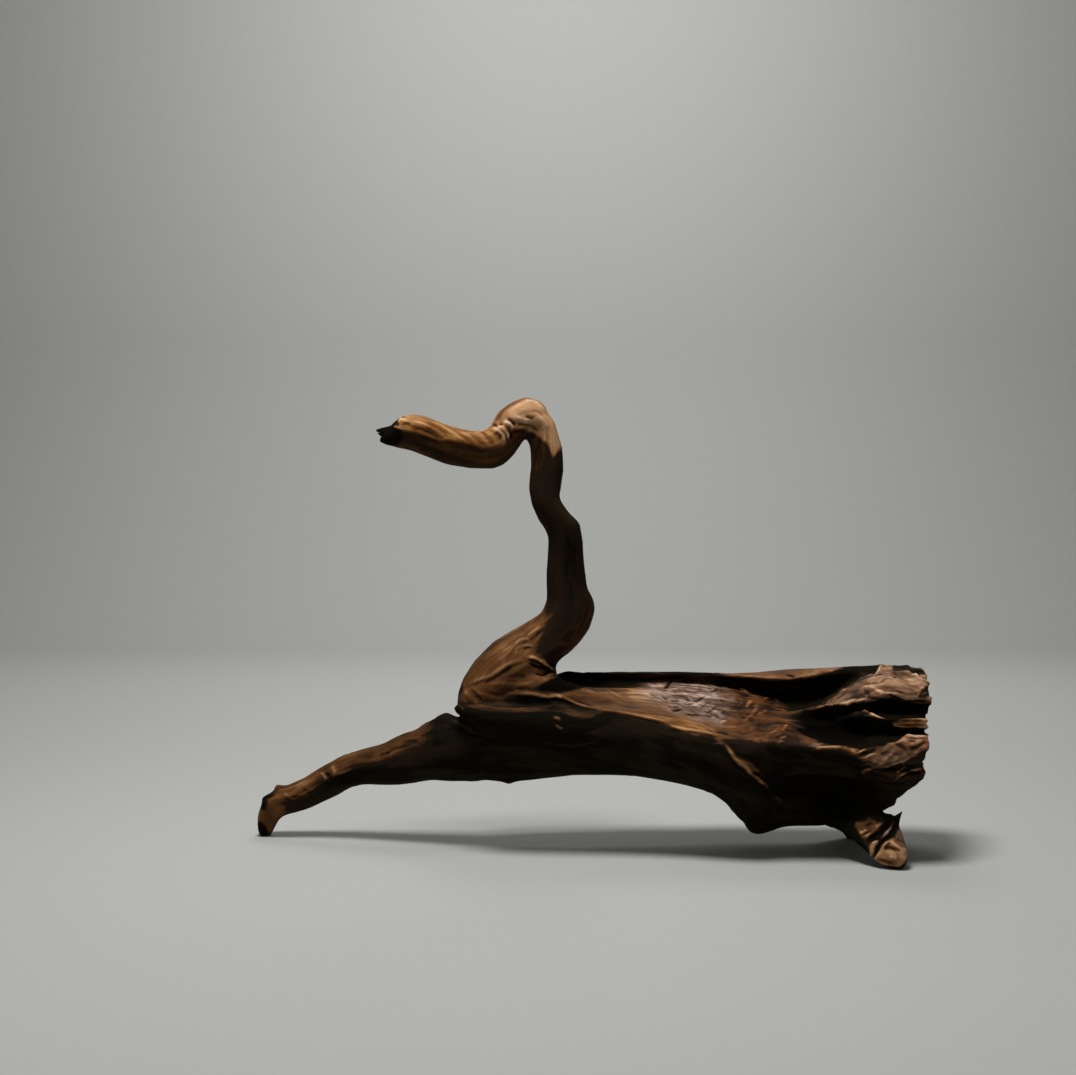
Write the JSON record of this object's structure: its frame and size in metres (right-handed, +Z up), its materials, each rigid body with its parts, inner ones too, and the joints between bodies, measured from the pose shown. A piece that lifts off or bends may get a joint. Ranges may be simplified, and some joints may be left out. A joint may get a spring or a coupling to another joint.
{
  "type": "bogwood",
  "caption": "Branched piece of dark bogwood: a hollow root trunk standing on a long leg and short stubs, with an upright branch that folds over into a bent arm.",
  "frame": {"origin": "on the ground, under the middle of the whole piece", "axes": "+X along the trunk from the long leg to the broken end, +Y from the hollow face to the closed back, +Z up"},
  "size_m": [0.425, 0.1124, 0.276],
  "materials": {
    "dark_root_wood": "weathered and dark, with a dull waxy sheen; brighter tan where worn",
    "warm_root_wood": "weathered, smooth along the grain, tan on top and dark beneath, dull waxy sheen"
  },
  "bodies": {
    "root": {"trunk": "dark_root_wood", "upright_branch": "warm_root_wood", "leg": "warm_root_wood", "front_foot": "warm_root_wood"}
  },
  "joints": []
}
